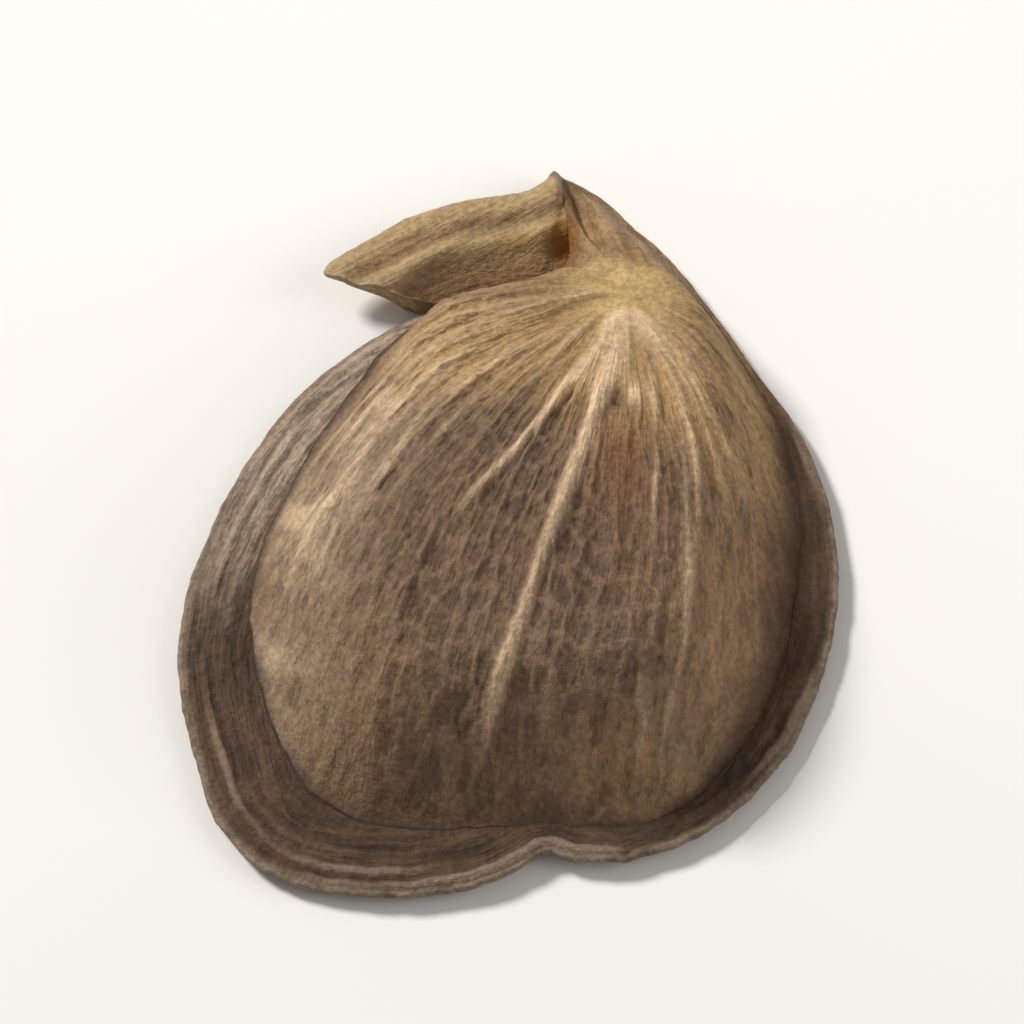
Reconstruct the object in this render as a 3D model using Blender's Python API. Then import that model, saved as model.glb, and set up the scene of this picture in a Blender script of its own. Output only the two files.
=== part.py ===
# Seed of the night-flowering jasmine: one half of the dry, flat capsule.
# It lies on its flat inner face, ribbed side up, with its pointed base towards +Y.
# Lengths below are in millimetres and angles in degrees; the model itself is in metres.
# The origin is on the resting surface, under the middle of the seed.

import bpy
import bmesh
import numpy as np

MM = 0.001

# Driving dimensions
APEX_X = 1.49             # the ribs meet here, seen from above
APEX_Y = 4.23
APEX_HEIGHT = 1.90
CROWN_HEIGHT = 2.80       # highest part of the ribbed wall
CROWN_DISTANCE = 5.0      # from the apex to where the crown is reached
FAR_DROP = 0.30           # the crown sinks this much towards the far end
FAR_DROP_START = 7.0
FAR_DROP_LENGTH = 4.0
TIP_DROP = 1.00           # and this much from the apex to the tip
TIP_LENGTH = 3.2
SHOULDER_WIDTH = 2.7      # from the foot of the wall to its crown, on the body
FRONT_SHOULDER = 0.75     # the same at the steep front edge, beside the pit
SHOULDER_GROWTH = 3.5     # the shoulder widens over this distance from the apex
SHOULDER_POWER = 2.6      # 1 is a straight slope, more is steeper at the foot and rounder above
RIM_HEIGHT = 0.42         # top of the thin rim
EDGE_TOP = 0.32           # outer edge of the rim, upper and lower corner
EDGE_BOTTOM = 0.15
REST_INSET = 0.55         # the flat inner face stops this far inside the outline
LIP_HEIGHT = 0.52         # how far the lip stands above the rim
LIP_EDGE_DROP = 0.08      # part of that height lost at its outer edge
LIP_UNDERCUT = 0.55       # part of the lip's width that is raised off the resting surface
LIP_MIDDLE = -121.0       # direction of the lip and how far it spreads to each side
LIP_SPREAD = 26.0
PIT_X = -1.26             # attachment pit, measured from the apex
PIT_Y = 1.66
PIT_RADIUS = 0.30

# Outline of the seed and foot of its ribbed wall: direction from the apex, and distance.
# Direction 0 points at the far end, 90 to +X, -90 to -X, and 180 to +Y.
OUTLINE = (
    (0.5, 10.50), (7, 10.38), (15, 9.85), (23, 8.92), (30, 7.95), (44, 5.98), (59, 4.05), (76, 2.48),
    (105, 1.68), (143, 1.56), (179, 2.08), (195, 2.80), (201, 3.14), (204.6, 3.36), (206.4, 3.46),
    (208.6, 3.24), (212, 3.05), (222, 3.10), (236, 3.72), (248, 4.36), (257, 4.86), (261.5, 5.18),
    (264.2, 5.34), (265.9, 5.20), (267.4, 4.05), (268.6, 3.60), (272, 3.83), (283.5, 5.26), (301.5, 7.82),
    (314, 9.98), (324, 11.30), (330, 12.08), (336, 12.38), (343, 12.05), (351, 11.38), (355.5, 10.80),
    (358, 10.42),
)
WALL_FOOT = (
    (2, 9.86), (7, 9.80), (14, 9.22), (21, 8.28), (27, 7.36), (36, 5.92), (55, 3.82), (75, 2.32),
    (104, 1.58), (142, 1.46), (180, 1.96), (192, 2.52), (200, 2.92), (205, 3.10), (208.4, 2.76),
    (212, 2.34), (217, 1.96), (222, 1.78), (228, 1.67), (236, 1.65), (244, 1.73), (252, 1.94),
    (258, 2.22), (263.5, 2.76), (270, 3.40), (280, 4.20), (289, 4.88), (297, 5.74), (304, 6.72),
    (311, 7.88), (318, 8.86), (324, 9.58), (330, 10.30), (336, 10.76), (343, 10.64), (351, 10.20),
    (357, 9.90),
)

# Main ribs: direction from the middle of their fan, height, width, and where they fade out
RIB_FAN_MIDDLE = -10.0
RIBS = (
    (1.5, 0.20, 0.20, 10.5),
    (-17.0, 0.14, 0.20, 6.5),
    (29.0, 0.14, 0.20, 7.0),
    (39.0, 0.14, 0.22, 8.5),
    (-33.0, 0.09, 0.28, 9.0),
)
RIB_START = 0.7           # ribs rise out of the apex over this distance
RIB_FADE = 2.0
FAN_CLOSING = 10.0        # the fan of ribs closes in again over this distance

# Directions of the mesh columns: fine over the fan of ribs, coarser behind the apex
FAN_FROM = -66.0
FAN_TO = 46.0
FAN_COLUMNS = 76
BACK_COLUMNS = 82

# Rings between apex and foot of the wall, and between the foot and the outline, as parts of that way
WALL_RINGS = (0.22, 0.42, 0.58, 0.72, 0.83, 0.91, 0.97, 1.0)
RIM_RINGS = (0.35, 0.72, 1.0)

SHARP_ANGLE = 38.0        # edges that turn more than this are shaded sharp

HUSK_COLOUR = (0.155, 0.105, 0.068, 1.0)
HUSK_ROUGHNESS = 0.72


def clear_scene():
    for item in list(bpy.data.objects):
        bpy.data.objects.remove(item, do_unlink=True)


def smooth_step(value):
    value = np.clip(value, 0.0, 1.0)
    return value * value * (3.0 - 2.0 * value)


def around(points, direction):
    """Distance from the apex in a direction: a closed smooth curve through the given points."""
    angle = np.array([p[0] for p in points], dtype=float)
    reach = np.array([p[1] for p in points], dtype=float)
    count = len(angle)
    angle = np.concatenate((angle[-2:] - 360.0, angle, angle[:3] + 360.0))
    reach = np.concatenate((reach[-2:], reach, reach[:3]))
    wrapped = np.mod(direction, 360.0)
    here = np.clip(np.searchsorted(angle, wrapped, side="right") - 1, 1, count + 2)
    slope = np.zeros_like(reach)
    slope[1:-1] = (reach[2:] - reach[:-2]) / (angle[2:] - angle[:-2])
    span = angle[here + 1] - angle[here]
    t = (wrapped - angle[here]) / span
    return ((2 * t**3 - 3 * t**2 + 1) * reach[here] + (t**3 - 2 * t**2 + t) * span * slope[here]
            + (3 * t**2 - 2 * t**3) * reach[here + 1] + (t**3 - t**2) * span * slope[here + 1])


def place(direction, distance):
    """Point seen from above, from the apex, for a direction and a distance."""
    turn = np.radians(direction)
    return distance * np.sin(turn), -distance * np.cos(turn)


def nearest(x, y, curve_x, curve_y):
    """Distance from each point to the nearest piece of a closed curve."""
    step_x = np.roll(curve_x, -1) - curve_x
    step_y = np.roll(curve_y, -1) - curve_y
    from_x = x[:, None] - curve_x[None, :]
    from_y = y[:, None] - curve_y[None, :]
    along = (from_x * step_x + from_y * step_y) / (step_x**2 + step_y**2)
    along = np.clip(along, 0.0, 1.0)
    return np.hypot(from_x - along * step_x, from_y - along * step_y).min(axis=1)


def rib_height(x, y):
    """Ribs fan out from the apex and close in again towards the far end."""
    distance = np.hypot(x, y)
    direction = np.degrees(np.arctan2(x, -y)) - RIB_FAN_MIDDLE
    direction = (np.mod(direction + 180.0, 360.0) - 180.0) * (1.0 + (distance / FAN_CLOSING)**2)
    height = np.zeros_like(x)
    for rib_direction, rib_rise, rib_width, rib_end in RIBS:
        aside = np.radians(direction - rib_direction) * distance
        ridge = rib_rise * np.exp(-(aside / rib_width)**2)
        ridge *= smooth_step(distance / RIB_START) * smooth_step((rib_end - distance) / RIB_FADE)
        height += ridge * (np.abs(direction - rib_direction) < 90.0)
    return height


def wall_height(x, y, inside):
    """The ribbed wall: a rounded shoulder from its foot up to a crown that rises from the apex."""
    crown = APEX_HEIGHT + (CROWN_HEIGHT - APEX_HEIGHT) * smooth_step(-y / CROWN_DISTANCE)
    crown -= FAR_DROP * smooth_step((-y - FAR_DROP_START) / FAR_DROP_LENGTH)
    crown -= TIP_DROP * smooth_step(y / TIP_LENGTH)
    shoulder = FRONT_SHOULDER + (SHOULDER_WIDTH - FRONT_SHOULDER) * smooth_step(-y / SHOULDER_GROWTH)
    climb = np.clip(inside / shoulder, 0.0, 1.0)
    rise = 1.0 - (1.0 - climb)**SHOULDER_POWER
    return RIM_HEIGHT + (crown - RIM_HEIGHT) * rise + rib_height(x, y) * rise


def lip_share(direction):
    """1 in the middle of the lip, falling to 0 past its ends."""
    side = (np.mod(direction - LIP_MIDDLE + 180.0, 360.0) - 180.0) / LIP_SPREAD
    return np.exp(-side**4)


def rim_height(direction, part):
    """The rim is a thin plate; the lip beside the tip curls up from it and dips again at its edge."""
    lip = LIP_HEIGHT * lip_share(direction) * smooth_step((part - 0.25) / 0.5)
    edge = (EDGE_TOP - RIM_HEIGHT) * smooth_step((part - 0.6) / 0.4)
    return RIM_HEIGHT + lip * (1.0 - LIP_EDGE_DROP * smooth_step((part - 0.75) / 0.25)) + edge


def add_ring(mesh, x, y, z):
    return [mesh.verts.new((px + APEX_X, py + APEX_Y, pz)) for px, py, pz in zip(x, y, z)]


def join_rings(mesh, upper, lower):
    """A band of four-cornered faces between two rings."""
    for i in range(len(upper)):
        mesh.faces.new((upper[i - 1], lower[i - 1], lower[i], upper[i]))


def column_directions():
    fan = np.linspace(FAN_FROM, FAN_TO, FAN_COLUMNS)
    back = np.linspace(FAN_TO, FAN_FROM + 360.0, BACK_COLUMNS + 2)[1:-1]
    return np.concatenate((fan, back))


def make_seed():
    direction = column_directions()
    outline = around(OUTLINE, direction)
    foot = around(WALL_FOOT, direction)
    foot_x, foot_y = place(direction, foot)

    mesh = bmesh.new()
    rings = []
    for part in WALL_RINGS:
        x, y = place(direction, foot * part)
        inside = nearest(x, y, foot_x, foot_y) if part < 1.0 else np.zeros_like(x)
        rings.append(add_ring(mesh, x, y, wall_height(x, y, inside)))
    for part in RIM_RINGS:
        x, y = place(direction, foot + (outline - foot) * part)
        rings.append(add_ring(mesh, x, y, rim_height(direction, np.full_like(x, part))))
    lift = rim_height(direction, np.ones_like(direction)) - EDGE_TOP
    x, y = place(direction, outline)
    rings.append(add_ring(mesh, x, y, EDGE_BOTTOM + lift))
    undercut = lip_share(direction) * LIP_UNDERCUT * (outline - foot)
    x, y = place(direction, outline - np.maximum(undercut, REST_INSET))
    rings.append(add_ring(mesh, x, y, np.zeros_like(x)))

    for upper, lower in zip(rings, rings[1:]):
        join_rings(mesh, upper, lower)
    peak = mesh.faces.new(rings[0])
    bmesh.ops.poke(mesh, faces=[peak])
    mesh.faces.new(reversed(rings[-1]))
    bmesh.ops.scale(mesh, vec=(MM, MM, MM), verts=mesh.verts)

    data = bpy.data.meshes.new("seed")
    mesh.to_mesh(data)
    mesh.free()
    data.shade_smooth()
    data.set_sharp_from_angle(angle=np.radians(SHARP_ANGLE))
    seed = bpy.data.objects.new("seed", data)
    bpy.context.collection.objects.link(seed)
    return seed


def make_pit_cutter():
    """A small ball whose lower half makes the attachment pit between the wall and the lip."""
    mesh = bmesh.new()
    bmesh.ops.create_uvsphere(mesh, u_segments=16, v_segments=8, radius=PIT_RADIUS * MM)
    data = bpy.data.meshes.new("pit_cutter")
    mesh.to_mesh(data)
    mesh.free()
    cutter = bpy.data.objects.new("pit_cutter", data)
    bpy.context.collection.objects.link(cutter)
    cutter.location = ((APEX_X + PIT_X) * MM, (APEX_Y + PIT_Y) * MM, RIM_HEIGHT * MM)
    cutter.display_type = "WIRE"
    cutter.hide_render = True
    return cutter


def cut_pit(seed, cutter):
    cut = seed.modifiers.new("attachment pit", "BOOLEAN")
    cut.operation = "DIFFERENCE"
    cut.solver = "EXACT"
    cut.object = cutter


def make_husk_material():
    husk = bpy.data.materials.new("dry_husk")
    husk.use_nodes = True
    shader = husk.node_tree.nodes["Principled BSDF"]
    shader.inputs["Base Color"].default_value = HUSK_COLOUR
    shader.inputs["Roughness"].default_value = HUSK_ROUGHNESS
    shader.inputs["Metallic"].default_value = 0.0
    return husk


def main():
    clear_scene()
    seed = make_seed()
    cut_pit(seed, make_pit_cutter())
    seed.data.materials.append(make_husk_material())


main()
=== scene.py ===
import math
import bpy
import numpy as np
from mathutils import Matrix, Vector


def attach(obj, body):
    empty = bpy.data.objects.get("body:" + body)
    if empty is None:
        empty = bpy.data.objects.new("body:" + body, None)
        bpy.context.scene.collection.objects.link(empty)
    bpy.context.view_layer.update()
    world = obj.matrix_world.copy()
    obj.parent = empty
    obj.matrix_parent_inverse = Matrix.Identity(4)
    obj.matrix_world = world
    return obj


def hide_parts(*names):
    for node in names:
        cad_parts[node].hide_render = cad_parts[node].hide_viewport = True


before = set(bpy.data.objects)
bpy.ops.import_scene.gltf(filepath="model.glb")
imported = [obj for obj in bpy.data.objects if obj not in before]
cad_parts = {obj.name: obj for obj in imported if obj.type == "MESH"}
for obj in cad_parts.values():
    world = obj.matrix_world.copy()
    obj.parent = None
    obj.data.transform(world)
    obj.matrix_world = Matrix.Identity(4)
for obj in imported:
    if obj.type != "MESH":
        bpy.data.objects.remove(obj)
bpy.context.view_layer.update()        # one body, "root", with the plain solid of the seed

mm = 0.001
print("frame loaded")

# Lengths in millimetres, directions in degrees: 0 is the far end, 90 is +X, 180 is the base, 270 is -X.
# Directions and distances run from the apex, the point where the ribs meet.
shape = {
    "apex": (1.49, 4.23),
    "apexHeight": 1.90,
    "crownHeight": 2.80,   # top of the ribbed wall
    "crownDistance": 5.0,
    "farDrop": 0.30,
    "farDropStart": 7.0,
    "farDropLength": 4.0,
    "tipDrop": 1.00,
    "tipLength": 3.2,
    "shoulder": 2.7,   # from the foot of the wall to its crown
    "frontShoulder": 0.75,
    "shoulderGrowth": 3.5,
    "shoulderPower": 2.6,
    "footFillet": 0.34,
    "creaseFillet": 0.90,
    "sideFillet": 0.12,
    "creaseShoulder": 0.35,
    "crease": (203.0, 246.0, 12.0),   # where the neck meets the lip: from, to and fade
    # the wall steps down to the neck here: y, slope, run and depth, then how ragged its line is and how often
    "brow": (0.50, -0.20, 0.42, 0.06),
    "browRagged": (0.05, 3.0),
    # raised ridge beside that step: y, half width, half length and height
    "browRidge": (0.22, 0.40, 0.95, 0.07),
    "rimHeight": 0.42,
    "edgeTop": 0.31,
    "edgeBottom": 0.16,
    "edgeBulge": (0.45, 5.0),   # of the rounded edge: part of its thickness, and distance where it is full
    "narrowestRim": 0.10,
    "thinnestRim": 0.12,
    "restInset": 0.55,
    "underSlope": (1.5, 0.9),   # power of the rise to the edge, and how much less at the lip
    "lipFrom": 204.0,   # the lip lies along the outline between these directions
    "lipTo": 269.5,
    "lipFades": (6.0, 3.0),
    "lipBackFrom": 195.0,   # its back edge is followed from here
    "lipHeight": 0.48,
    "lipWidth": 1.75,
    "lipSlope": 1.05,
    # ridges and grooves along the lip: distance from its back edge, height and half width; then their wander
    "lipRidges": ((0.24, 0.08, 0.19), (0.58, -0.08, 0.14), (0.90, 0.09, 0.18), (1.28, -0.07, 0.17)),
    "lipWander": (0.06, 0.9),
    "lipUndercut": 0.55,
    "freeEdge": (264.6, 269.0),   # the front edge of the lip, which stands clear of the wall
    "outline": (
        (0.5, 10.50), (7, 10.38), (15, 9.85), (23, 8.92), (30, 7.95), (44, 5.98), (59, 4.05), (76, 2.48),
        (105, 1.68), (143, 1.56), (179, 2.08), (195, 2.80), (201, 3.12), (204.6, 3.30), (206.4, 3.38),
        (208.8, 3.24), (212.5, 3.11), (222, 3.16), (236, 3.74), (248, 4.36), (257, 4.86), (261.5, 5.18),
        (264.2, 5.34), (265.9, 5.26), (266.7, 4.66), (267.4, 4.05), (268.4, 3.60), (272, 3.83), (283.5, 5.26),
        (301.5, 7.82), (314, 9.98), (324, 11.30), (330, 12.08), (336, 12.38), (343, 12.05), (351, 11.38),
        (355.5, 10.80), (358, 10.42)),
    "wallFoot": (
        (2, 9.86), (7, 9.80), (14, 9.22), (21, 8.28), (27, 7.36), (36, 5.92), (55, 3.82), (75, 2.32),
        (104, 1.62), (142, 1.50), (180, 2.01), (192, 2.58), (200, 3.02), (205.0, 3.22), (208.4, 2.80),
        (212, 2.27), (217, 1.87), (222, 1.71), (228, 1.64), (236, 1.65), (244, 1.73), (252, 1.94),
        (258, 2.22), (263.5, 2.76), (270, 3.40), (280, 4.20), (289, 4.88), (297, 5.74), (304, 6.72),
        (311, 7.88), (318, 8.86), (324, 9.58), (330, 10.30), (336, 10.76), (343, 10.64), (351, 10.20),
        (357, 9.90)),
}

# A rib: line in degrees, swing of the line near the apex, height, width, start, end, waviness, drift per mm
ribPlan = {
    "fanMiddle": -10.0,
    "fanClosing": 10.0,
    "fanHalf": 100.0,
    "swingLength": 1.3,
    "mainRibs": (
        (5.4, 12.0, 0.17, 0.185, 0.5, 10.6, 0.6, -0.6),
        (-4.6, 8.0, 0.13, 0.170, 0.7, 6.8, 0.8, -2.7),
        (-27.0, 0.0, 0.06, 0.150, 0.8, 3.9, 0.8, 0.0),
        (33.5, 2.0, 0.08, 0.150, 0.7, 6.8, 1.4, -1.5),
        (44.0, 1.0, 0.10, 0.130, 0.7, 7.8, 1.1, -1.3),
        (36.0, 0.0, 0.08, 0.120, 5.0, 10.6, 2.4, 0.0),
        (52.0, 0.0, 0.07, 0.150, 1.5, 8.8, 1.5, 0.0),
        (17.0, 6.0, 0.05, 0.100, 1.2, 5.6, 1.5, 0.0),
        (-3.0, 4.0, 0.04, 0.100, 2.0, 7.5, 1.6, -1.2),
        (-36.0, 4.0, 0.08, 0.150, 1.8, 8.4, 1.6, 0.0),
        (-44.0, 0.0, 0.07, 0.150, 2.8, 8.8, 1.6, 0.0),
        (-52.5, 0.0, 0.11, 0.220, 3.2, 9.4, 1.0, 0.0),
        (-61.0, 0.0, 0.07, 0.150, 3.4, 9.0, 1.8, 0.0),
        (58.0, 0.0, 0.05, 0.150, 0.8, 8.0, 1.8, 0.0)),
    "startShare": 0.3,   # a rib begins to rise at this part of its start
    "fade": 2.2,
    "ridgePower": 1.7,
    "fullHeight": 0.15,   # a rib of this height has its full colour
    "knots": ((1.9, 0.7, 0.75), (7.9, 1.0, 0.30)),   # thicker places: distance, half length and extra
    "knotMiddle": 3.0,
    "knotSpread": 8.0,
    # noise along a rib: waves to a millimetre, step from rib to rib, seed, and the result's mean and swing
    "lineNoise": (0.7, 3.1, 40, 0.0, 1.0),
    "widthNoise": (1.1, 4.7, 70, 0.75, 0.25),
    "heightNoise": (1.6, 5.3, 90, 0.80, 0.35),
    # fine ribs: how many, full height and width, then limits of line, height, width, start, end and waviness
    "fineCount": 44,
    "fineHeight": 0.042,
    "fineWidth": 0.080,
    "fineLimits": ((-80.0, 80.0), (0.4, 1.2), (0.7, 1.5), (0.4, 4.0), (4.0, 11.0), (1.0, 3.5)),
    "fineSeed": 11,
}

# Fine relief of the dry husk; a dent is its place from the apex, half width, half length and depth
relief = {
    "fibreHeight": 0.028,
    "fibreWaves": (5.0, 9.0, 17.0, 31.0, 57.0),
    "fibreFinest": 0.16,   # shortest wave that the mesh can hold
    "fibreCoarsest": 0.90,
    "fibreFade": 0.6,
    "fibreAlong": 0.55,
    "netHeight": 0.046,   # raised veins round small cells
    "netAcross": 10.0,   # cells to a radian of the rib lines, and to a millimetre along them
    "netAlong": 1.60,
    "netVein": 0.17,
    "netWarp": (0.35, 0.9),   # shift of the cells and its waves
    "netFine": (2.1, 1.4, 0.55),   # the finer net beside the coarse one: frequency, vein width and height
    "netStart": (0.8, 2.5),
    "wrinkleHeight": 0.042,
    "wrinkleSize": 0.80,
    "swellHeight": 0.08,   # slow swells of the wall
    "swellSize": 2.6,
    "footFade": 0.5,   # fine relief fades out over this distance to the foot of the wall
    # pleats and border folds: rib line, half spread, distance, half length, height, waves across and along
    "pleats": (26.0, 17.0, 9.2, 1.2, 0.17, 17.0, 0.5),
    "folds": (-56.0, 13.0, 8.0, 3.6, 0.10, 3.5, 2.3),
    # raised lines along the outline: distance, height and half width; their wander and its waves; then the
    # mean, swing, waves, least and most of their strength
    "rimLines": ((0.13, 0.050, 0.085), (0.42, 0.034, 0.090), (0.74, 0.024, 0.110)),
    "rimWander": (0.07, 6.0),
    "rimStrength": (0.65, 1.1, 7.0, 0.1, 1.3),
    "rimStart": 0.25,
    "rimWave": (0.10, 3.2),
    # small ins and outs of the foot of the wall and of the outline: waves to a radian and depth
    "footNibble": ((9.0, 0.050), (23.0, 0.050), (51.0, 0.030)),
    "edgeNibble": ((7.0, 0.040), (15.0, 0.030), (31.0, 0.030), (63.0, 0.022), (130.0, 0.014)),
    "nibbleFull": (8.0, 0.15),   # distance where they are full, and the least part of them
    "crinkle": 0.028,
    "crinkleSize": 0.34,
    "crinkleStart": 0.2,
    "lipCrinkle": 0.010,
    "lipFibre": 0.016,
    "lipWaves": (7.0, 0.8),   # across and along
    "neckFibre": 0.022,
    "neckWaves": (6.0, 0.9),
    "dentPower": 1.15,
    "pit": (-1.25, 1.55, 0.27, 0.37, 0.17),
    "hollow": (-2.06, 1.42, 0.38, 0.27, 0.13),
    "tipCrease": (-1.30, 2.22, 0.080, 0.62, 0.08),
    "groove": (0.014, 0.28),   # along the foot of the wall: depth, half width
    "smallPit": (0.09, -2.46, 0.16, 0.27, 0.09),
    "palePatch": (0.41, -2.32, 0.19, 0.29, -0.05),
    "innerLines": (0.012, 18.0, 0.4),   # on the inner face: height, waves to a radian and along
    # slit along the inner face: a point of it, half width and depth; its lean and its ends with their fades
    "innerSlit": (-1.2, 0.9, 0.10, 0.16),
    "slitRun": (0.05, -7.5, 4.0, 2.0, 1.0),
}

# Where the husk is paler, redder or greener, and where light and shade are painted on it; distances and sizes
# as above
tints = {
    # the pale band: the shoulder's own paler tan, with a painted highlight along the shoulder that faces the
    # light
    "paleLine": ((-2.5, -0.9), (-3.8, -2.4), (-4.75, -4.3), (-5.35, -6.1), (-5.50, -7.0), (-5.35, -8.0)),
    "paleWidth": 1.12,
    "paleFade": (4.4, 3.4, 0.52),
    "paleStart": (-0.6, 1.2, 0.45),   # the band grows over this stretch from that part of its strength
    "paleLoss": 0.5,   # lost near the left border of the tan zone
    "paleOnRim": (0.9, -6.9, 2.3),   # share on the rim beside the band, and where it ends towards the far end
    # tan zone round the apex: its reach in the middle, at the left and at the right, from where and over how
    # many degrees it grows, its softness and how far fibres fray it; then its loss near the left border, the
    # width of that loss, its start in degrees and fade, and the distance where it ends with its fade
    "baseReach": (2.6, 4.3, 4.3, 12.0, 34.0, 1.9, 0.45),
    "baseLoss": (0.80, 0.85, 25.0, 20.0, 6.5, 1.5),
    "rimPale": (266.0, 320.0, 8.0, 26.0),   # paler part of the rim: from, to and its two fades
    "darkSide": (18.0, 56.0, 14.0, 0.70, 0.45),   # the right side, with painted shade near the foot: from, to, fade, reach from the foot and its softness
    "sideRagged": (0.22, 0.8),
    # width of the border between wall and rim, how ragged it is and in what size, and what is added at the
    # crease and at the dark side, and taken off where the wall is pale
    "border": (0.24, 0.08, 0.5, 0.40, 0.30, 0.6),
    "patchRagged": (0.5, 0.7),
    "shades": (0.5, 0.28),   # painted shade: dark line at the step to the neck, and along the foot of the wall
    # the recess by the lip, its share and width on the wall: reddish brown with painted shade in it
    "recess": (0.8, 0.30),
    "bulge": 0.65,
    "holes": (("pit", 1.0), ("hollow", 0.45), ("tipCrease", 0.22)),
    "edgeReach": 0.08,
    "fullLine": 0.05,   # a raised line or a ridge of the lip has its full colour at this height
    "fullRidge": 0.08,
    "underEdge": (0.8, 3, 4),   # how far the edge's colour comes round to the inner face: share and powers
    "redPatches": ((0.30, -3.5, 0.55, 1.3, 1.0), (-2.3, 0.75, 1.5, 0.45, 0.9), (3.0, -4.6, 0.30, 2.4, 0.6),
                   (-6.1, -6.6, 0.28, 2.4, 0.7)),
    "olivePatches": ((2.3, -6.0, 0.8, 3.4, 1.0), (-4.1, -9.4, 1.3, 1.5, 0.4), (1.0, -9.2, 1.6, 0.9, 1.0),
                     (2.9, -3.4, 0.9, 2.4, 1.0), (-2.9, -1.2, 1.4, 0.9, 1.0)),
    "darkPatches": ((-0.9, -7.4, 2.1, 3.0, 1.0), (-2.6, -5.4, 1.6, 2.6, 1.3), (0.9, -6.0, 0.9, 2.6, 1.0),
                    (-3.9, -9.4, 1.2, 1.0, 0.8)),
}

seedMesh = {
    "columns": 744,
    "outlineSteps": 7201,
    "fanExtra": 0.45,   # how much closer the columns stand across the ribbed wall
    "fanHalf": 62.0,
    "fanFade": 10.0,
    "wallRings": 84,
    "wallSpread": 0.10,   # the rings stand closer towards the foot of the wall
    "rimRings": 26,
    "edgeRings": 4,
    "underRings": 16,
    "underSpread": 0.35,
}


def smoothStep(value):
    # 0 below 0, 1 above 1, and three v squared minus two v cubed between them
    value = np.clip(value, 0.0, 1.0)
    return value * value * (3.0 - 2.0 * value)


def bell(value):
    # e to the minus v squared
    return np.exp(-value * value)


def around(points, direction):
    # closed cubic curve through (direction, distance) points, with slopes from the neighbours on either side
    angle = np.array([p[0] for p in points], dtype=float)
    reach = np.array([p[1] for p in points], dtype=float)
    count = len(angle)
    angle = np.concatenate((angle[-2:] - 360.0, angle, angle[:3] + 360.0))
    reach = np.concatenate((reach[-2:], reach, reach[:3]))
    wrapped = np.mod(direction, 360.0)
    here = np.clip(np.searchsorted(angle, wrapped, side="right") - 1, 1, count + 2)
    slope = np.zeros_like(reach)
    slope[1:-1] = (reach[2:] - reach[:-2]) / (angle[2:] - angle[:-2])
    span = angle[here + 1] - angle[here]
    t = (wrapped - angle[here]) / span
    return ((2 * t**3 - 3 * t**2 + 1) * reach[here] + (t**3 - 2 * t**2 + t) * span * slope[here]
            + (3 * t**2 - 2 * t**3) * reach[here + 1] + (t**3 - t**2) * span * slope[here + 1])


def latticeValue(ix, iy, iz, seed):
    # a fixed random number from -1 to 1 for each whole-number place
    mixed = (ix * 374761393 + iy * 668265263 + iz * 2147483647 + seed * 974634777) & 0xffffffff
    mixed = ((mixed ^ (mixed >> 13)) * 1274126177) & 0xffffffff
    mixed = mixed ^ (mixed >> 16)
    return (mixed & 0xffff) / 32767.5 - 1.0


def softNoise(x, y, seed, z=0.5):
    # random numbers on a lattice, blended by a smooth step along each of the three directions
    x, y, z = np.broadcast_arrays(x, y, z)
    ix, iy, iz = (np.floor(v).astype(np.int64) for v in (x, y, z))
    fx, fy, fz = smoothStep(x - ix), smoothStep(y - iy), smoothStep(z - iz)
    total = np.zeros(x.shape)
    for dx in (0, 1):
        for dy in (0, 1):
            for dz in (0, 1):
                share = (fx if dx else 1 - fx) * (fy if dy else 1 - fy) * (fz if dz else 1 - fz)
                total += share * latticeValue(ix + dx, iy + dy, iz + dz, seed)
    return total


def layeredNoise(x, y, size, seed, layers=3):
    # soft noise at a size, plus finer layers at half the size and half the strength
    total = 0.0
    for layer in range(layers):
        scale = 2.0**layer / size
        total = total + softNoise(x * scale, y * scale, seed + layer, 0.37 * layer + 0.5) / 2.0**layer
    return total


def cellWalls(x, y, seed):
    # scattered points, one to a square: how much nearer the nearest one is than the second nearest
    ix, iy = np.floor(x).astype(np.int64), np.floor(y).astype(np.int64)
    first = np.full(x.shape, 9.0)
    second = np.full(x.shape, 9.0)
    for dx in (-1, 0, 1):
        for dy in (-1, 0, 1):
            px = ix + dx + 0.5 + 0.42 * latticeValue(ix + dx, iy + dy, 0, seed)
            py = iy + dy + 0.5 + 0.42 * latticeValue(ix + dx, iy + dy, 1, seed)
            away = np.hypot(px - x, py - y)
            second = np.minimum(second, np.maximum(first, away))
            first = np.minimum(first, away)
    return second - first


def nearestDistance(x, y, fromX, fromY, toX, toY):
    # distance from each point to the nearest of some short straight pieces
    stepX, stepY = toX - fromX, toY - fromY
    aheadX, aheadY = x[:, None] - fromX[None, :], y[:, None] - fromY[None, :]
    along = np.clip((aheadX * stepX + aheadY * stepY) / (stepX**2 + stepY**2), 0.0, 1.0)
    return np.hypot(aheadX - along * stepX, aheadY - along * stepY).min(axis=1)


def place(direction, reach):
    # direction and distance to x and y
    turn = np.radians(direction)
    return reach * np.sin(turn), -reach * np.cos(turn)


def fanLines(x, y):
    # which rib line a point lies on, in degrees from the fan's middle: the lines spread from the apex
    # and close in again with the square of the distance
    distance = np.hypot(x, y)
    turn = np.degrees(np.arctan2(x, -y)) - ribPlan["fanMiddle"]
    turn = np.mod(turn + 180.0, 360.0) - 180.0
    return turn * (1.0 + (distance / ribPlan["fanClosing"])**2), turn, distance


def fineRibs():
    # random thin ribs between the main ones, each with the same eight numbers
    ribs = []
    rng = np.random.default_rng(ribPlan["fineSeed"])
    for _ in range(ribPlan["fineCount"]):
        where, rise, width, start, end, wave = (rng.uniform(*limits) for limits in ribPlan["fineLimits"])
        rise, width = ribPlan["fineHeight"] * rise, ribPlan["fineWidth"] * width
        ribs.append((where, 0.0, rise, width, start, end, wave, 0.0))
    return tuple(ribs)


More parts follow.
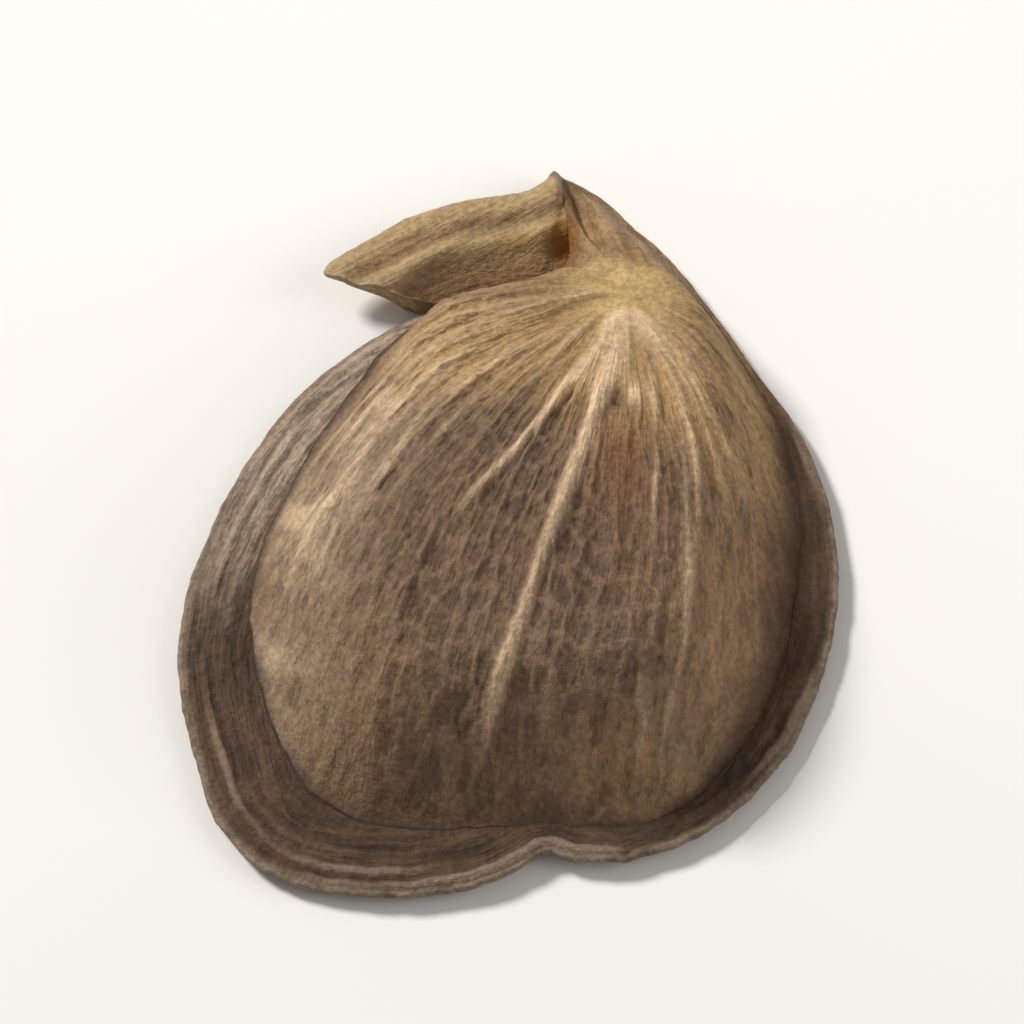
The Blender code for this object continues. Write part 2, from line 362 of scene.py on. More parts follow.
def ribNoise(distance, number, name):
    # mean plus swing times soft noise along one rib
    waves, step, seed, mean, swing = ribPlan[name]
    return mean + swing * softNoise(distance * waves, step * number, seed + number)


def ribHeight(line, turn, distance):
    # bell-shaped ridges along rib lines, rising out of the apex and fading at their ends
    plan = ribPlan
    closing = 1.0 + (distance / plan["fanClosing"])**2
    total = np.zeros_like(distance)
    for number, rib in enumerate(plan["mainRibs"] + fineRibs()):
        where, swing, rise, width, start, end, wave, drift = rib
        wander = wave * ribNoise(distance, number, "lineNoise")
        middle = where + swing * np.exp(-distance / plan["swingLength"]) + drift * distance + wander
        aside = np.radians(line - middle) * distance / closing
        thin = width * ribNoise(distance, number, "widthNoise")
        knot = np.ones_like(distance)
        for reach, length, extra in plan["knots"]:
            nearMiddle = bell((middle - plan["knotMiddle"]) / plan["knotSpread"])
            knot += extra * bell((distance - reach) / length) * nearMiddle
        body = rise * knot * np.exp(-np.abs(aside / (thin * knot))**plan["ridgePower"])
        body = body * smoothStep((distance - plan["startShare"] * start) / start)
        body = body * smoothStep((end - distance) / plan["fade"])
        body = body * ribNoise(distance, number, "heightNoise")
        total += body * (np.abs(turn) < plan["fanHalf"])
    return total


def fibreRelief(line, distance):
    # waves across the rib lines, each frequency used only where it is neither too fine nor too coarse
    finest, coarsest = relief["fibreFinest"], relief["fibreCoarsest"]
    fade = relief["fibreFade"] * coarsest
    closing = 1.0 + (distance / ribPlan["fanClosing"])**2
    turn = np.radians(line)
    along = distance * relief["fibreAlong"]
    total = np.zeros_like(distance)
    for number, frequency in enumerate(relief["fibreWaves"]):
        wave = distance / closing / frequency * 2.0
        share = smoothStep((wave - finest) / finest) * smoothStep((coarsest - wave) / fade)
        total += share * softNoise(turn * frequency, along, 200 + number, 7.7 * number)
    return total


def veinNet(line, distance):
    # bell-shaped veins where two cells meet; the cells are stretched along the rib lines and warped by noise
    across = np.radians(line) * relief["netAcross"]
    along = distance * relief["netAlong"]
    shift, waves = relief["netWarp"]
    warpX, warpY = (shift * softNoise(across * waves, along * waves, seed) for seed in (240, 241))
    vein = relief["netVein"]
    finer, wider, share = relief["netFine"]
    coarse = bell(cellWalls(across + warpX, along + warpY, 250) / vein)
    fine = bell(cellWalls(finer * across + warpY, finer * along + warpX, 260) / (wider * vein))
    start, length = relief["netStart"]
    return (coarse + share * fine) * smoothStep((distance - start) / length)


def foldRelief(line, distance, name):
    # short folds beside each other: soft noise stretched one way, inside a bell-shaped window
    middle, spread, reach, length, height, across, along = relief[name]
    window = bell((line - middle) / spread) * bell((distance - reach) / length)
    turn = np.radians(line)
    fold = softNoise(turn * across, distance * along, 280)
    fold = fold + 0.5 * softNoise(turn * 2.0 * across, distance * 2.0 * along, 281)
    return height * window * fold, window * fold


def alongAxis(x, y, turn, across, along, seed):
    # soft noise stretched along a straight axis at an angle from X
    ahead = x * math.cos(turn) + y * math.sin(turn)
    aside = y * math.cos(turn) - x * math.sin(turn)
    coarse = softNoise(ahead * along, aside * across, seed)
    return coarse + 0.6 * softNoise(ahead * 2.0 * along, aside * 2.1 * across, seed + 1)


def dent(x, y, name):
    # a smooth bell-shaped dent: place, half width, half length and depth
    px, py, halfWidth, halfLength, depth = relief[name]
    away = ((x - px) / halfWidth)**2 + ((y - py) / halfLength)**2
    return depth * np.exp(-away**relief["dentPower"])


def dentShare(x, y, name):
    # a dent divided by its depth: 1 in its middle, 0 far away
    return dent(x, y, name) / relief[name][4]


def patches(x, y, name):
    # bell-shaped patches with ragged edges: place, half width, half length and strength
    total = 0.0 * x
    amount, size = tints["patchRagged"]
    ragged = 1.0 + amount * layeredNoise(x, y, size, 700)
    for px, py, halfWidth, halfLength, strength in tints[name]:
        total += strength * np.exp(-ragged * (((x - px) / halfWidth)**2 + ((y - py) / halfLength)**2))
    return np.clip(total, 0.0, 1.0)


def lipShare(direction):
    # 1 along the lip, 0 elsewhere
    turn = np.mod(direction, 360.0)
    startFade, endFade = shape["lipFades"]
    start, end = turn - shape["lipFrom"], shape["lipTo"] - turn
    return smoothStep(start / startFade) * smoothStep(end / endFade)


def between(turn, low, high, fade):
    # 1 between two directions and 0 outside them, with a smooth fade centred on either
    return smoothStep((turn - low) / fade + 0.5) * smoothStep((high - turn) / fade + 0.5)


def creaseAway(direction):
    # 0 where the neck meets the lip, 1 elsewhere
    return 1.0 - between(np.mod(direction, 360.0), *shape["crease"])


def sideShare(direction):
    # 1 along the right side, 0 elsewhere
    return between(np.mod(direction + 180.0, 360.0) - 180.0, *tints["darkSide"][:3])


def rimPaleness(direction):
    # 1 along the paler part of the rim, 0 elsewhere
    low, high, startFade, endFade = tints["rimPale"]
    turn = np.mod(direction, 360.0)
    return smoothStep((turn - low) / startFade) * smoothStep((high - turn) / endFade)


def footGroove(away, direction):
    # bell-shaped groove along the foot of the wall, left out where the neck meets the lip
    return bell(away / relief["groove"][1]) * creaseAway(direction)


def rimBody(x, y, direction, toFoot, toEdge, across):
    # a thin plate that thins towards its edge, and at the base the lip: a tilted band along the outline
    # with ridges and grooves along it, falling gently to the recess
    part = toFoot / np.maximum(toFoot + toEdge, 0.001)
    band = lipShare(direction) * smoothStep((shape["lipWidth"] - across) / shape["lipSlope"])
    ridges = 0.0 * x
    shift, waves = shape["lipWander"]
    for where, height, thick in shape["lipRidges"]:
        wander = shift * softNoise(x * waves, y * waves, 405, 2.1 * where)
        ridges += height * bell((across - where - wander) / thick)
    plate = shape["rimHeight"] + (shape["edgeTop"] - shape["rimHeight"]) * smoothStep(part)
    return plate + band * (shape["lipHeight"] + ridges), band, ridges, part


def wallBody(y, direction, level, inside):
    # a rounded shoulder from the foot up to a crown that rises from the apex and drops at both ends
    crease = 1.0 - creaseAway(direction)
    growth = smoothStep(-y / shape["crownDistance"])
    crown = shape["apexHeight"] + (shape["crownHeight"] - shape["apexHeight"]) * growth
    crown = crown - shape["farDrop"] * smoothStep((-y - shape["farDropStart"]) / shape["farDropLength"])
    crown = crown - shape["tipDrop"] * smoothStep(y / shape["tipLength"])
    growth = smoothStep(-y / shape["shoulderGrowth"])
    shoulder = shape["frontShoulder"] + (shape["shoulder"] - shape["frontShoulder"]) * growth
    shoulder = shoulder + shape["creaseShoulder"] * crease
    climb = np.clip(inside / shoulder, 0.0, 1.0)
    fillet = shape["footFillet"] + shape["creaseFillet"] * crease
    fillet = fillet + shape["sideFillet"] * sideShare(direction)
    climb = climb * climb * (1.0 + fillet) / (climb + fillet)
    rise = 1.0 - (1.0 - climb)**shape["shoulderPower"]
    return level + (crown - level) * rise, rise


def wallHeight(x, y, direction, level, inside, line, turn, distance):
    # the wall with its step to the neck, swells and wrinkles, and the ribs, fibres, veins and folds on it
    body, rise = wallBody(y, direction, level, inside)
    browY, browSlope, browRun, browDepth = shape["brow"]
    amount, waves = shape["browRagged"]
    ragged = amount * softNoise(x * waves, y * waves, 330)
    neck = smoothStep((y - browY - browSlope * x + ragged) / browRun)
    body = body - browDepth * neck * rise
    ridgeY, ridgeWidth, ridgeLength, height = shape["browRidge"]
    body = body + height * bell((y - ridgeY - browSlope * x) / ridgeWidth) * bell(x / ridgeLength)
    body = body + relief["swellHeight"] * rise * layeredNoise(x, y, relief["swellSize"], 300, 2)
    away = smoothStep(inside / relief["footFade"])
    body = body + relief["wrinkleHeight"] * away * layeredNoise(x, y, relief["wrinkleSize"], 320, 4)
    ribs = ribHeight(line, turn, distance) * (1.0 - neck)
    fibres = fibreRelief(line, distance) * (1.0 - neck)
    net = veinNet(line, distance) * (1.0 - neck)
    pleats, pleatWave = foldRelief(line, distance, "pleats")
    folds, foldWave = foldRelief(line, distance, "folds")
    fine = ribs + relief["fibreHeight"] * fibres + relief["netHeight"] * net + pleats + folds
    neckLines = alongAxis(x, y, look["neckAxis"], *relief["neckWaves"], 340)
    fine = fine + relief["neckFibre"] * neck * neckLines
    return body + away * fine, ribs, fibres, net, neck, pleatWave + foldWave


def paleAndHighlightBand(x, y):
    # bell-shaped band along the pale left shoulder, weaker towards the far end: its own paler tan with a
    # painted highlight
    paleX, paleY = np.array(tints["paleLine"]).T
    away = nearestDistance(x, y, paleX[:-1], paleY[:-1], paleX[1:], paleY[1:])
    band = bell(away / tints["paleWidth"])
    startY, startLength, least = tints["paleStart"]
    band = band * (least + (1.0 - least) * smoothStep((startY - y) / startLength))
    start, length, loss = tints["paleFade"]
    return band * (1.0 - loss * smoothStep((-y - start) / length))


def baseZone(turn, distance, fibres, inside):
    # 1 round the apex, fading where the distance passes a reach that grows to both sides; fibres fray its
    # limit, and it is weaker near the left border
    middle, left, right, grow, run, softness, fray = tints["baseReach"]
    aside = np.where(turn < 0.0, left, right)
    reach = middle + (aside - middle) * smoothStep((np.abs(turn) - grow) / run)
    loss, width, start, startFade, end, endFade = tints["baseLoss"]
    nearBorder = loss * bell(inside / width) * smoothStep((-turn - start) / startFade)
    nearBorder = nearBorder * smoothStep((end - distance) / endFade)
    zone = smoothStep((reach - distance + fray * fibres) / softness + 0.5)
    return zone * (1.0 - nearBorder), nearBorder


def wallRing(x, y, direction, level, inside):
    # the wall with its dents and the groove along its foot, and the numbers for its colours
    line, turn, distance = fanLines(x, y)
    z, ribs, fibres, net, neck, folds = wallHeight(x, y, direction, level, inside, line, turn, distance)
    for name in ("pit", "smallPit", "palePatch", "tipCrease"):
        z = z - dent(x, y, name)
    groove = footGroove(inside, direction)
    z = z - relief["groove"][0] * groove * (1.0 - rimPaleness(direction))
    base, nearBorder = baseZone(turn, distance, fibres, inside)
    pale = paleAndHighlightBand(x, y) * (1.0 - tints["paleLoss"] * nearBorder)
    fullPale = np.clip(pale, 0.0, 1.0)
    # painted shade: the steep right side darker near the foot of the wall, ragged at its limit
    reach, softness = tints["darkSide"][3:]
    amount, size = tints["sideRagged"]
    ragged = amount * layeredNoise(x, y, size, 360)
    side = sideShare(direction) * smoothStep((reach - inside + ragged) / softness)
    width, amount, size, atCrease, atSide, atPale = tints["border"]
    border = width + amount * layeredNoise(x, y, size, 370, 2) + atCrease * (1.0 - creaseAway(direction))
    border = (border + atSide * sideShare(direction)) * (1.0 - atPale * fullPale)
    # painted shade: darker at the step to the neck, along the foot of the wall and in the small pit
    atNeck, atFoot = tints["shades"]
    shade = atNeck * neck * (1.0 - neck) + atFoot * groove * (1.0 - fullPale) + dentShare(x, y, "smallPit")
    bulge = tints["bulge"] * dentShare(x, y, "palePatch")
    recess, recessWidth = tints["recess"]
    return {"x": x, "y": y, "z": z, "wall": smoothStep(inside / border),
            "rib": ribs / ribPlan["fullHeight"] + bulge, "fibre": fibres, "net": net, "neck": neck,
            "hole": dentShare(x, y, "pit"), "pale": pale, "side": side, "folds": folds,
            "groove": shade, "base": base,
            "red": patches(x, y, "redPatches"), "olive": patches(x, y, "olivePatches"),
            "dark": patches(x, y, "darkPatches"),
            "recess": recess * lipShare(direction) * bell(inside / recessWidth)}


def rimRing(x, y, direction, toFoot, toEdge, across):
    # the plate and the lip, waved a little, with raised lines along the outline, crinkles and dents
    turnX, turnY = place(direction, 1.0)
    body, band, ridges, part = rimBody(x, y, direction, toFoot, toEdge, across)
    share, end, length = tints["paleOnRim"]
    pale = rimPaleness(direction) + share * paleAndHighlightBand(x, y) * smoothStep((y - end) / length)
    pale = np.clip(pale, 0.0, 1.0)
    waveHeight, waves = relief["rimWave"]
    wave = waveHeight * softNoise(waves * turnX, waves * turnY, 400, 1.5) * part
    lines = 0.0 * x
    shift, waves = relief["rimWander"]
    mean, swing, strengthWaves, least, most = relief["rimStrength"]
    for number, (where, height, thick) in enumerate(relief["rimLines"]):
        wander = shift * softNoise(waves * turnX, waves * turnY, 410, 1.7 * number)
        strength = mean + swing * softNoise(strengthWaves * turnX, strengthWaves * turnY, 415, 2.3 * number)
        lines += height * np.clip(strength, least, most) * bell((across - where - wander) / thick)
    lines = lines * smoothStep(toFoot / relief["rimStart"]) * (1.0 - band)
    rough = relief["crinkle"] + (relief["lipCrinkle"] - relief["crinkle"]) * lipShare(direction)
    crinkle = rough * layeredNoise(x, y, relief["crinkleSize"], 420)
    lipLines = alongAxis(x, y, look["lipAxis"], *relief["lipWaves"], 430)
    crinkle = crinkle + relief["lipFibre"] * band * lipLines
    z = body + np.abs(wave) + lines + crinkle * smoothStep(toFoot / relief["crinkleStart"])
    for name in ("pit", "hollow", "tipCrease"):
        z = z - dent(x, y, name)
    # the groove along the foot also gives painted shade there, except where the rim is pale
    groove = footGroove(toFoot, direction)
    z = np.maximum(z - relief["groove"][0] * groove * (1.0 - pale), shape["thinnestRim"])
    return {"x": x, "y": y, "z": z, "lip": band, "recess": lipShare(direction) * (1.0 - band),
            "hole": sum(share * dentShare(x, y, name) for name, share in tints["holes"]),
            "edge": bell(toEdge / tints["edgeReach"]), "across": across, "pale": pale,
            "line": lines / tints["fullLine"] + band * ridges / tints["fullRidge"],
            "groove": tints["shades"][1] * groove * (1.0 - pale), "red": patches(x, y, "redPatches")}


def edgeRing(direction, outline, topRing, k):
    # part of a rounded edge: half a turn from the upper to the lower corner of the rim
    thick = shape["edgeTop"] - shape["edgeBottom"]
    bulge, full = shape["edgeBulge"]
    swing = math.pi * k / seedMesh["edgeRings"]
    x, y = place(direction, outline + bulge * thick * math.sin(swing) * np.minimum(1.0, outline / full))
    z = topRing["z"] - thick * (1.0 - math.cos(swing)) / 2.0
    return {"x": x, "y": y, "z": z, "edge": 1.0, "lip": lipShare(direction)}


def underRing(direction, outline, foot, lowRing, k):
    # the flat inner face: it leaves the surface towards the thin edge, and is undercut below the lip
    onLip = lipShare(direction)
    inset = np.maximum(shape["restInset"], onLip * shape["lipUndercut"] * (outline - foot))
    part = 1.0 - k / (seedMesh["underRings"] + 1.0)
    part = part + seedMesh["underSpread"] * part * (1.0 - part)
    reach = outline * part
    x, y = place(direction, reach)
    slope = np.clip(1.0 - (outline - reach) / inset, 0.0, 1.0)
    steep, lessAtLip = shape["underSlope"]
    z = lowRing["z"] * slope**(steep - lessAtLip * onLip) + underHeight(x, y) * (1.0 - slope)
    share, sharePower, edgePower = tints["underEdge"]
    return {"x": x, "y": y, "z": z, "lip": onLip, "under": 1.0 - share * slope**sharePower,
            "edge": slope**edgePower}


def underHeight(x, y):
    # fine lines that fan out from the base, and a slit along the middle
    line, _, distance = fanLines(x, y)
    height, across, along = relief["innerLines"]
    lines = height * (1.0 + softNoise(np.radians(line) * across, distance * along, 600))
    slitX, slitY, slitWidth, slitDepth = relief["innerSlit"]
    lean, low, lowFade, high, highFade = relief["slitRun"]
    aside = x - slitX - lean * (y - slitY)
    slit = slitDepth * bell(aside / slitWidth) * smoothStep((y - low) / lowFade)
    return lines + slit * smoothStep((high - y) / highFade)


def columnDirections():
    # directions spaced evenly along the outline, and closer across the ribbed wall
    fine = np.linspace(0.0, 360.0, seedMesh["outlineSteps"])
    x, y = place(fine, around(shape["outline"], fine))
    middle = (fine[1:] + fine[:-1]) / 2.0
    offFan = np.mod(middle - ribPlan["fanMiddle"] + 180.0, 360.0) - 180.0
    onWall = smoothStep((seedMesh["fanHalf"] - np.abs(offFan)) / seedMesh["fanFade"])
    weight = 1.0 + seedMesh["fanExtra"] * onWall
    length = np.concatenate(([0.0], np.cumsum(np.hypot(np.diff(x), np.diff(y)) * weight)))
    even = np.linspace(0.0, length[-1], seedMesh["columns"] + 1)[:-1]
    return np.interp(even, length, fine)


def borders(direction):
    # the outline and the foot of the wall, both with small ins and outs made of soft noise
    outline = around(shape["outline"], direction)
    foot = around(shape["wallFoot"], direction)
    turnX, turnY = place(direction, 1.0)
    full, least = relief["nibbleFull"]
    share = np.clip(outline / full, least, 1.0)
    for waves, depth in relief["edgeNibble"]:
        outline = outline + share * depth * softNoise(waves * turnX, waves * turnY, int(waves))
    for waves, depth in relief["footNibble"]:
        nibble = softNoise(waves * turnX, waves * turnY, 90 + int(waves))
        foot = foot + creaseAway(direction) * share * depth * nibble
    return outline, np.minimum(foot, outline - shape["narrowestRim"])


def seedRings():
    # rings of points from the apex over the wall, the rim and the edge to the inner face
    size = seedMesh
    direction = columnDirections()
    outline, foot = borders(direction)
    footX, footY = place(direction, foot)
    edgeX, edgeY = place(direction, outline)
    footPieces = (footX, footY, np.roll(footX, -1), np.roll(footY, -1))
    edgePieces = (edgeX, edgeY, np.roll(edgeX, -1), np.roll(edgeY, -1))
    low, high = shape["freeEdge"]
    kept = (direction < low) | (direction > high)
    backPieces = tuple(values[kept] for values in edgePieces)
    along = (direction < low) & (direction > shape["lipBackFrom"])
    lipPieces = tuple(values[along] for values in edgePieces)
    onLip = lipShare(direction)

    def backDistance(x, y):
        # distance to the outer edge, and along the lip to its back edge alone
        return onLip * nearestDistance(x, y, *lipPieces) + (1.0 - onLip) * nearestDistance(x, y, *backPieces)

    level = rimBody(footX, footY, direction, 0.0 * foot, nearestDistance(footX, footY, *edgePieces),
                    backDistance(footX, footY))[0]

    rings = []
    for k in range(1, size["wallRings"] + 1):
        part = k / size["wallRings"]
        x, y = place(direction, foot * (part + size["wallSpread"] * part * (1.0 - part)))
        rings.append(wallRing(x, y, direction, level, nearestDistance(x, y, *footPieces)))
    for k in range(1, size["rimRings"] + 1):
        x, y = place(direction, foot + (outline - foot) * k / size["rimRings"])
        rings.append(rimRing(x, y, direction, nearestDistance(x, y, *footPieces),
                             nearestDistance(x, y, *edgePieces), backDistance(x, y)))
    topRing = rings[-1]
    rings += [edgeRing(direction, outline, topRing, k) for k in range(1, size["edgeRings"] + 1)]
    lowRing = rings[-1]
    rings += [underRing(direction, outline, foot, lowRing, k) for k in range(1, size["underRings"] + 1)]
    return rings


# Numbers for the finish, three to an attribute of the mesh; the last two are coordinates for its patterns
huskNumbers = {
    "zone": ("wall", "lip", "under"),
    "places": ("neck", "side", "away"),   # away: millimetres from the apex
    "folds": ("folds", "base", "spare"),
    "relief": ("rib", "fibre", "net"),
    "lines": ("edge", "line", "groove"),
    "marks": ("hole", "recess", "pale"),
    "tints": ("red", "olive", "dark"),
    "fan": ("fanX", "fanY", "fanZ"),
    "rim": ("rimX", "rimY", "across"),
}


def seedValues(rings):
    # each number of all rings in one row, with the middle points of the first and the last ring at its end
    columns = len(rings[0]["x"])
    values = {}
    for name in ("x", "y", "z") + sum(huskNumbers.values(), ()):
        rows = [ring.get(name, 0.0) + np.zeros(columns) for ring in rings]
        ends = (0.0, 0.0) if name in ("x", "y") else (rows[0].mean(), rows[-1].mean())
        values[name] = np.concatenate((*rows, ends))
    line, _, distance = fanLines(values["x"], values["y"])
    lineTurn, directionTurn = np.radians(line), np.arctan2(values["y"], values["x"])
    drop = np.maximum(shape["crownHeight"] - values["z"], 0.0)
    values.update({"away": distance, "fanX": np.cos(lineTurn), "fanY": np.sin(lineTurn),
                   "fanZ": distance + drop, "rimX": np.cos(directionTurn), "rimY": np.sin(directionTurn)})
    return values


def seedFaces(rows, columns):
    # four-sided faces between neighbouring rings, and fans of triangles inside the first and the last ring
    here = np.arange(columns)
    after = np.roll(here, -1)
    level = (np.arange(rows - 1) * columns)[:, None]
    quads = np.stack((level + here, level + columns + here, level + columns + after, level + after), axis=2)
    crown, last = rows * columns, (rows - 1) * columns
    crownFan = np.stack((np.full(columns, crown), here, after), axis=1)
    baseFan = np.stack((np.full(columns, crown + 1), last + after, last + here), axis=1)
    return quads.reshape(-1, 4).tolist() + crownFan.tolist() + baseFan.tolist()


def buildSeed():
    # the one mesh of the seed, in metres, with the numbers for its finish
    rings = seedRings()
    rows, columns = len(rings), len(rings[0]["x"])
    values = seedValues(rings)
    apexX, apexY = shape["apex"]
    points = np.stack((values["x"] + apexX, values["y"] + apexY, values["z"]), axis=1) * mm
    mesh = bpy.data.meshes.new("seed_husk")
    mesh.from_pydata(points.tolist(), [], seedFaces(rows, columns))
    mesh.shade_smooth()
    for group, names in huskNumbers.items():
        data = np.stack([values[name] for name in names], axis=1).ravel().astype(np.float32)
        mesh.attributes.new(group, "FLOAT_VECTOR", "POINT").data.foreach_set("vector", data)
    seed = bpy.data.objects.new("seed_husk", mesh)
    bpy.context.scene.collection.objects.link(seed)
    print("seed surface:", len(mesh.vertices), "points,", 2 * rows * columns, "triangles")
    return seed


# Colours of the finish as red, green and blue in linear light, and how glossy and how embossed it is
look = {
    "furrow": (0.052, 0.031, 0.019),
    "greyBrown": (0.113, 0.066, 0.040),
    "duskBrown": (0.087, 0.051, 0.033),
    "purple": (0.110, 0.059, 0.034),
    # paler tan of the left shoulder and the fold crests, with a painted highlight in it
    "paleTanAndHighlight": (0.435, 0.325, 0.205),
    "redBrown": (0.182, 0.082, 0.034),
    "olive": (0.310, 0.185, 0.088),
    "vein": (0.205, 0.132, 0.078),
    # painted shade of the steep right side near the foot of the wall
    "paintedSideShade": (0.100, 0.063, 0.040),
    "rib": (0.640, 0.455, 0.282),
    "baseTan": (0.400, 0.254, 0.113),
    "baseShade": (0.275, 0.168, 0.076),
    "apexTan": (0.460, 0.318, 0.137),
    "neckTan": (0.295, 0.188, 0.090),
    "neckShade": (0.180, 0.106, 0.048),
    "neckAxis": -1.13,   # radians from X to the length of the neck, and size of its streaks in metres
    "neckStreak": (0.0018, 0.00020, 0.0007),
    "rimBrown": (0.080, 0.046, 0.026),
    "rimDark": (0.040, 0.023, 0.013),
    "rimLine": (0.220, 0.155, 0.110),
    "rimPale": (0.345, 0.262, 0.192),
    "edge": (0.205, 0.152, 0.108),
    "lipTan": (0.352, 0.244, 0.122),
    "lipShade": (0.245, 0.158, 0.080),
    "lipAxis": 0.617,   # the same for the lip
    "lipStreak": (0.0014, 0.00014, 0.0005),
    "lipEdge": (0.370, 0.272, 0.165),
    # reddish brown of the recess, darkened with painted shade
    "recess": (0.165, 0.080, 0.037),
    "pit": (0.235, 0.108, 0.028),
    # painted shade in the creases: the foot of the wall, the step to the neck and the small pit
    "groove": (0.055, 0.032, 0.018),
    "innerTan": (0.460, 0.285, 0.115),
    "innerStreak": (0.300, 0.165, 0.062),
    "netCells": (15.0, 15.0, 1.7),   # waves of the fine net, then waves, detail and size of its bend
    "netBend": (9.0, 2.0, 0.9),
    "netVein": (0.0, 0.20, 1.0, 0.0),
    "baseFromApex": (0.25, 1.3),
    "bumpFromApex": (0.2, 1.4),
    "grain": (0.30, 0.70, 0.80, 1.18),
    "fleck": (0.58, 0.76, 0.0, 0.22),
    "rough": (0.35, 0.62, 0.86, 0.58),
    "specular": 0.17,
    "sheen": 0.04,
    "bumpStrength": 0.85,
    "bumpHeight": 0.00010,
}

# Noise of the finish: stretch of its coordinates, detail, roughness and warp. The first three lie on the rib
# lines, then one on the outline, two on straight axes, and three on the seed in waves to a metre.
huskPatterns = {
    "streak": ((24.0, 24.0, 1.2), 4.0, 0.60, 0.35),
    "band": ((8.0, 8.0, 0.30), 3.0, 0.55, 0.30),
    "thread": ((85.0, 85.0, 2.6), 3.0, 0.60, 0.25),
    "rimStreak": ((9.0, 9.0, 7.0), 4.0, 0.60, 0.0),
    "neckStreak": ((1.0, 1.0, 1.0), 4.0, 0.60, 0.30),
    "lipStreak": ((1.0, 1.0, 1.0), 4.0, 0.60, 0.30),
    "mottle": ((620.0, 620.0, 620.0), 4.0, 0.62, 0.4),
    "fleck": ((2300.0, 2300.0, 2300.0), 3.0, 0.60, 0.0),
    "grain": ((9000.0, 9000.0, 9000.0), 2.0, 0.65, 0.0),
}

# Sums of patterns and numbers times their weights, made in this order
huskMixes = {
    "deep": {"mottle": 0.40, "thread": 0.18, "streak": 0.42, "fibre": 0.07},
    "paleTone": {"deep": 1.0, "folds": 0.16},
    "baseTone": {"band": 0.5, "streak": 0.5},
    "rimTone": {"rimStreak": 1.0, "line": 0.10},
    "lipTone": {"line": 0.10, "one": 0.14, "lipStreak": 0.75},
    "wallRelief": {"streak": 0.45, "thread": 0.45},
    "apexRelief": {"mottle": 0.6},
    "neckRelief": {"neckStreak": 0.9},
    "rimRelief": {"rimStreak": 0.9},
    "lipRelief": {"lipStreak": 0.9},
    "grainRelief": {"fleck": 0.45, "grain": 0.40},
}

# Two-tone colours: the dark one, the light one, and the number that chooses between them, from and to
huskPairs = {
    "husk": ("furrow", "greyBrown", "deep", 0.30, 0.58),
    "base": ("baseShade", "baseTan", "baseTone", 0.36, 0.58),
    "neck": ("neckShade", "neckTan", "neckStreak", 0.36, 0.60),
    "rim": ("rimDark", "rimBrown", "rimStreak", 0.36, 0.62),
    "lip": ("lipShade", "lipTan", "lipTone", 0.36, 0.62),
    "inner": ("innerStreak", "innerTan", "streak", 0.35, 0.68),
}

# Colours laid over each other in this order. The share of each is a product: a number alone is taken as it
# is, one with a weight is multiplied by it, and others go through a smooth step: from, to and shares there.
huskLayers = {
    "wall": (
        ("duskBrown", ("dark", 0.72)),
        ("purple", ("mottle", 0.50, 0.66, 0.0, 0.60)),
        ("olive", ("band", 0.50, 0.68, 0.0, 0.45), ("dark", 0.0, 1.0, 1.0, 0.35)),
        ("olive", ("olive",), ("streak", 0.35, 0.60, 0.30, 0.90)),
        # the pale band: own paler tan and painted highlight
        ("paleTanAndHighlight", ("pale",), ("paleTone", 0.38, 0.58, 0.25, 1.0)),
        ("vein", ("net", 0.20, 1.0, 0.0, 0.54)),
        ("vein", ("fineNet", 0.24)),
        # painted highlight on the crests of the folds and pleats
        ("paleTanAndHighlight", ("folds", 0.08, 0.46, 0.0, 0.58)),
        ("redBrown", ("red", 0.85)),
        ("paintedSideShade", ("side",), ("mottle", 0.35, 0.62, 0.95, 0.55)),
        ("base", ("base",), ("baseTone", 0.34, 0.52, 0.55, 0.92)),
        ("apexTan", ("away", 1.7, 0.3), ("baseTone", 0.34, 0.54, 0.62, 1.0)),
        ("neck", ("neck",)),
        ("rib", ("rib", 0.18, 0.95), ("thread", 0.32, 0.58, 0.62, 1.0), ("away", 2.5, 6.5, 1.0, 0.58)),
    ),
    "rim": (
        ("purple", ("mottle", 0.48, 0.66, 0.0, 0.4)),
        ("rimLine", ("line", 0.15, 0.9, 0.0, 0.8)),
        ("rimPale", ("pale",), ("rimTone", 0.38, 0.60, 0.35, 1.0)),
        ("edge", ("edge",), ("fleck", 0.30, 0.60, 0.45, 1.0)),
        ("neck", ("away", 3.6, 2.6)),
        ("recess", ("recess",)),
        ("lip", ("lip",)),
        ("lipEdge", ("edge",), ("lip", 0.6)),
    ),
    # the first layer is painted shade in the creases
    "whole": (("groove", ("groove", 0.65)), ("pit", ("hole", 0.12, 0.75)), ("inner", ("under",))),
}


def addNode(tree, kind, inputs=(), **settings):
    # a node with its settings; "inputs" is a dictionary of socket and value or link
    item = tree.nodes.new(kind)
    for name, value in settings.items():
        setattr(item, name, value)
    for name, value in dict(inputs).items():
        if isinstance(value, bpy.types.NodeSocket):
            tree.links.new(value, item.inputs[name])
        else:
            item.inputs[name].default_value = value
    return item


def noiseOf(tree, vector, scale, detail, rough, warp=0.0):
    # soft noise with finer layers, around 0.5
    inputs = {"Vector": vector, "Scale": scale, "Detail": detail, "Roughness": rough, "Distortion": warp}
    return addNode(tree, "ShaderNodeTexNoise", inputs).outputs["Fac"]


def stretched(tree, vector, factors):
    # coordinates multiplied by a factor for each direction
    return addNode(tree, "ShaderNodeVectorMath", {0: vector, 1: factors}, operation="MULTIPLY").outputs[0]


def ranged(tree, value, low, high, toLow=0.0, toHigh=1.0):
    # smooth step from one value at low to another at high
    return addNode(tree, "ShaderNodeMapRange", {
        "Value": value, "From Min": low, "From Max": high, "To Min": toLow, "To Max": toHigh},
        interpolation_type="SMOOTHSTEP").outputs["Result"]


def times(tree, first, second):
    return addNode(tree, "ShaderNodeMath", {0: first, 1: second}, operation="MULTIPLY").outputs[0]


def plus(tree, first, second):
    return addNode(tree, "ShaderNodeMath", {0: first, 1: second}, operation="ADD").outputs[0]


